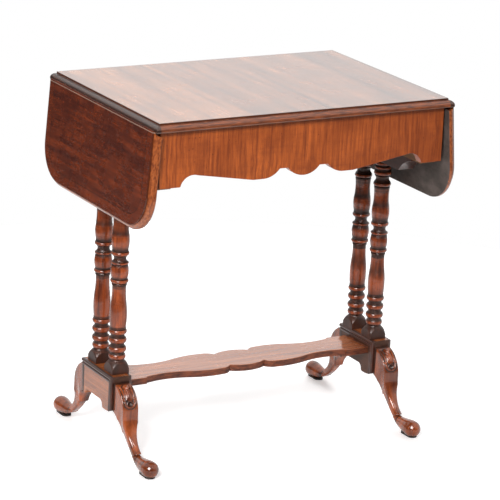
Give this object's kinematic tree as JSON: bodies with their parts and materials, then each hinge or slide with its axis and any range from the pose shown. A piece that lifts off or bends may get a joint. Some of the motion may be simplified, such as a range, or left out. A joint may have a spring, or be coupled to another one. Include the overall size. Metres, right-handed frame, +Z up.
{
  "type": "drop-leaf occasional table",
  "caption": "Antique occasional table with a hanging leaf at each end, a shaped apron, turned column pairs, a waisted undershelf and cabriole legs with carved knees.",
  "frame": {"origin": "on the floor, under the middle of the table", "axes": "+Z up, +X along the table towards the right leaf, +Y from the front apron to the back one"},
  "size_m": [0.701, 0.472, 0.72],
  "materials": {
    "tabletop": "French polished mahogany veneer, grain across the table",
    "leaf": "French polished mahogany veneer with a dark crossbanding line",
    "apron": "French polished mahogany veneer",
    "frame_pine": "old unpolished softwood, darkened with age",
    "bracket_beech": "old unpolished beech",
    "bearer": "French polished solid mahogany",
    "column": "French polished solid mahogany, darker in the turned grooves",
    "block": "French polished mahogany veneer",
    "block_moulding": "French polished solid mahogany, dark in the grooves",
    "leg": "French polished solid mahogany",
    "foot_pad": "dark leather pad",
    "undershelf": "French polished mahogany veneer",
    "hinge_brass": "aged brass",
    "pin_steel": "dull drawn steel",
    "screw_steel": "dull steel wood screws"
  },
  "bodies": {
    "table": {"tabletop": "tabletop", "front_apron": "apron", "back_apron": "apron", "left_inner_rail": "frame_pine", "right_inner_rail": "frame_pine", "left_fly_rail_front": "frame_pine", "right_fly_rail_front": "frame_pine", "left_fly_rail_back": "frame_pine", "right_fly_rail_back": "frame_pine", "left_bracket_pin": "pin_steel", "right_bracket_pin": "pin_steel", "left_column_bearer": "bearer", "right_column_bearer": "bearer", "corner_blocks": "frame_pine", "top_blocks": "frame_pine", "top_screws": "screw_steel", "column_front_left": "column", "column_back_left": "column", "column_front_right": "column", "column_back_right": "column", "left_block": "block", "right_block": "block", "left_block_outer_moulding": "block_moulding", "left_block_inner_moulding": "block_moulding", "right_block_outer_moulding": "block_moulding", "right_block_inner_moulding": "block_moulding", "leg_front_left": "leg", "leg_back_left": "leg", "leg_front_right": "leg", "leg_back_right": "leg", "foot_pad_front_left": "foot_pad", "foot_pad_back_left": "foot_pad", "foot_pad_front_right": "foot_pad", "foot_pad_back_right": "foot_pad", "undershelf": "undershelf", "hinge_plate_front_left": "hinge_brass", "hinge_plate_back_left": "hinge_brass", "hinge_plate_front_right": "hinge_brass", "hinge_plate_back_right": "hinge_brass", "hinge_pins_left": "pin_steel", "hinge_pins_right": "pin_steel", "hinge_screws": "screw_steel"},
    "left_leaf": {"left_leaf": "leaf", "leaf_plate_front_left": "hinge_brass", "leaf_plate_back_left": "hinge_brass", "left_leaf_screws": "screw_steel"},
    "right_leaf": {"right_leaf": "leaf", "leaf_plate_front_right": "hinge_brass", "leaf_plate_back_right": "hinge_brass", "right_leaf_screws": "screw_steel"},
    "left_bracket": {"left_fly_bracket": "bracket_beech"},
    "right_bracket": {"right_fly_bracket": "bracket_beech"}
  },
  "joints": [
    {"name": "left_leaf_hinge", "type": "hinge", "parent": "table", "child": "left_leaf", "pos_m": [-0.3215, 0, 0.7065], "axis": [0, 1, 0], "range_deg": [-4, 86]},
    {"name": "right_leaf_hinge", "type": "hinge", "parent": "table", "child": "right_leaf", "pos_m": [0.3215, 0, 0.7065], "axis": [0, -1, 0], "range_deg": [-5, 85]},
    {"name": "left_bracket_swing", "type": "hinge", "parent": "table", "child": "left_bracket", "pos_m": [-0.3055, 0.062, 0.657], "axis": [0, 0, -1], "range_deg": [0, 2]},
    {"name": "right_bracket_swing", "type": "hinge", "parent": "table", "child": "right_bracket", "pos_m": [0.3055, 0.062, 0.657], "axis": [0, 0, 1], "range_deg": [0, 2]}
  ]
}
